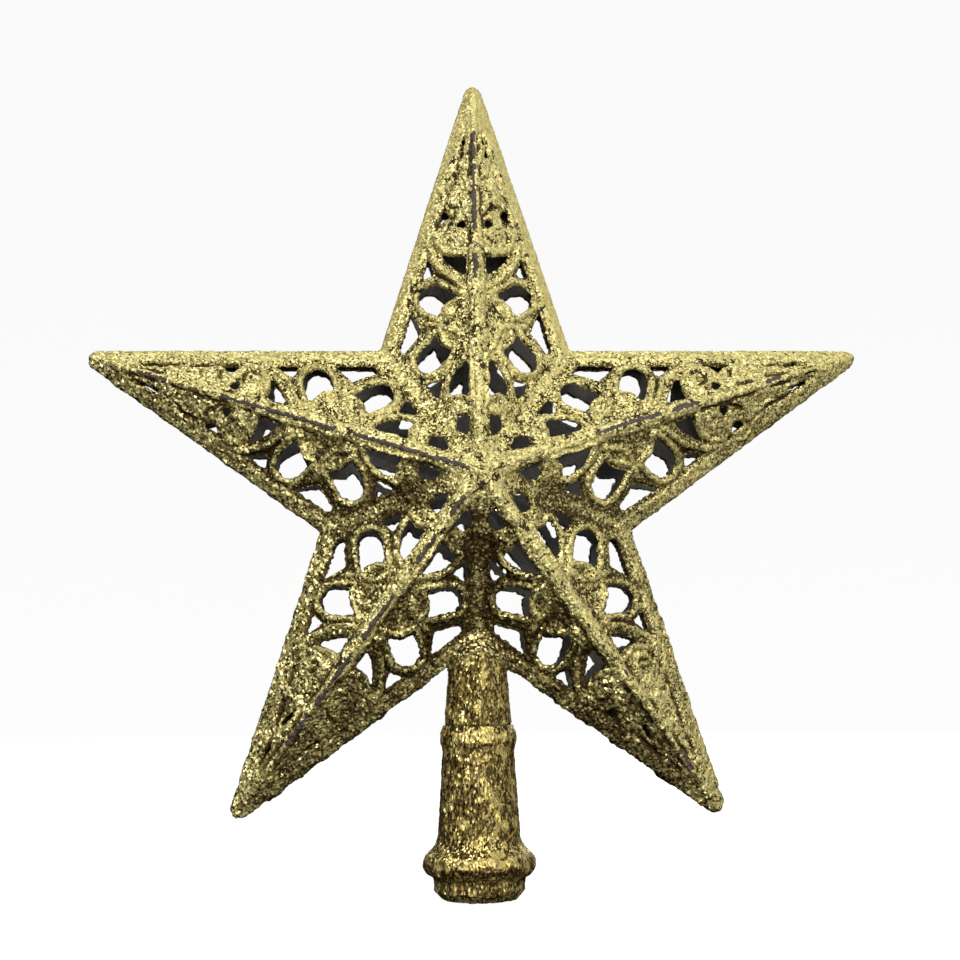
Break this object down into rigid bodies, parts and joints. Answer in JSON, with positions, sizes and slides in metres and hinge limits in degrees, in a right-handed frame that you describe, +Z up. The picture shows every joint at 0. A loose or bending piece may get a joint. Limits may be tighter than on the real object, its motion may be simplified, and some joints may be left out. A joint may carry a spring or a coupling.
{
  "type": "christmas tree topper star",
  "caption": "Hollow openwork star with a filigree of petals and scrolls, moulded in two halves on a socket stem that slides over the leader of a Christmas tree",
  "frame": {"origin": "centre of the stem's round mouth, in the plane of the foot's flat underside", "axes": "+Z up along the stem to the top arm, +X to the right arm, the star's front face towards -Y"},
  "size_m": [0.2, 0.056, 0.2115],
  "materials": {
    "gold_glitter": "dark moulded plastic under a crust of fine pale gold glitter"
  },
  "bodies": {
    "root": {"front_star_half": "gold_glitter", "rear_star_half": "gold_glitter", "stem_tube": "gold_glitter"}
  },
  "joints": []
}
